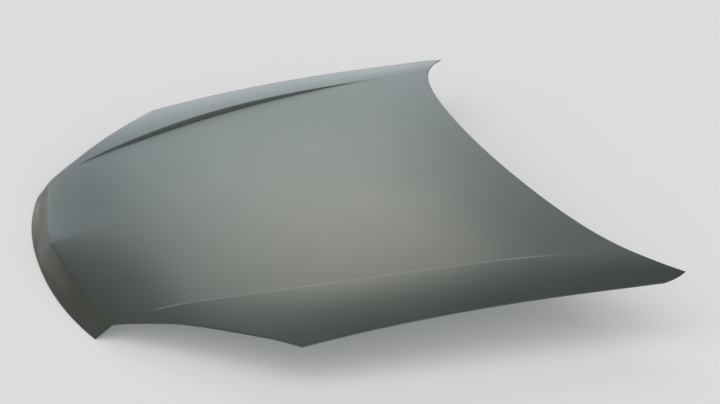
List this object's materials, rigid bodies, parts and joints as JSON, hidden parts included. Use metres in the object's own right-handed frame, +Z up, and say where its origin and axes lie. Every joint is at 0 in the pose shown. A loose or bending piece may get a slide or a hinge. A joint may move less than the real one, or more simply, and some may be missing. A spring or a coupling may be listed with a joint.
{
  "type": "car bonnet",
  "caption": "Pressed steel car bonnet in primer, its outer skin hemmed round a windowed inner frame with hinge pads and a latch striker.",
  "frame": {"origin": "on the floor below the middle of the bonnet's length, on its centre line", "axes": "+Z up, +Y towards the rear edge by the windscreen, +X towards the car's left side"},
  "size_m": [1.4984, 1.2264, 0.1639],
  "materials": {
    "primer": "satin grey-green electrocoat primer",
    "inside_primer": "satin electrocoat primer on the inside pressings",
    "zinc": "zinc-plated steel",
    "mastic": "dull black cured mastic"
  },
  "bodies": {
    "root": {"outer_skin": "primer", "inner_frame": "inside_primer", "hinge_reinforcement_left": "inside_primer", "hinge_nut_left_front": "zinc", "hinge_nut_left_rear": "zinc", "hinge_reinforcement_right": "inside_primer", "hinge_nut_right_front": "zinc", "hinge_nut_right_rear": "zinc", "latch_reinforcement": "inside_primer", "striker_plate": "zinc", "striker_loop": "zinc", "mastic_centre_front_front": "mastic", "mastic_centre_front_inner": "mastic", "mastic_centre_front_outer": "mastic", "mastic_centre_front_rear": "mastic", "mastic_centre_rear_front": "mastic", "mastic_centre_rear_inner": "mastic", "mastic_centre_rear_outer": "mastic", "mastic_centre_rear_rear": "mastic", "mastic_left_front_front": "mastic", "mastic_left_front_inner": "mastic", "mastic_left_front_rear": "mastic", "mastic_left_rear_front": "mastic", "mastic_left_rear_inner": "mastic", "mastic_left_rear_rear": "mastic", "mastic_right_front_front": "mastic", "mastic_right_front_inner": "mastic", "mastic_right_front_rear": "mastic", "mastic_right_rear_front": "mastic", "mastic_right_rear_inner": "mastic", "mastic_right_rear_rear": "mastic"}
  },
  "joints": []
}
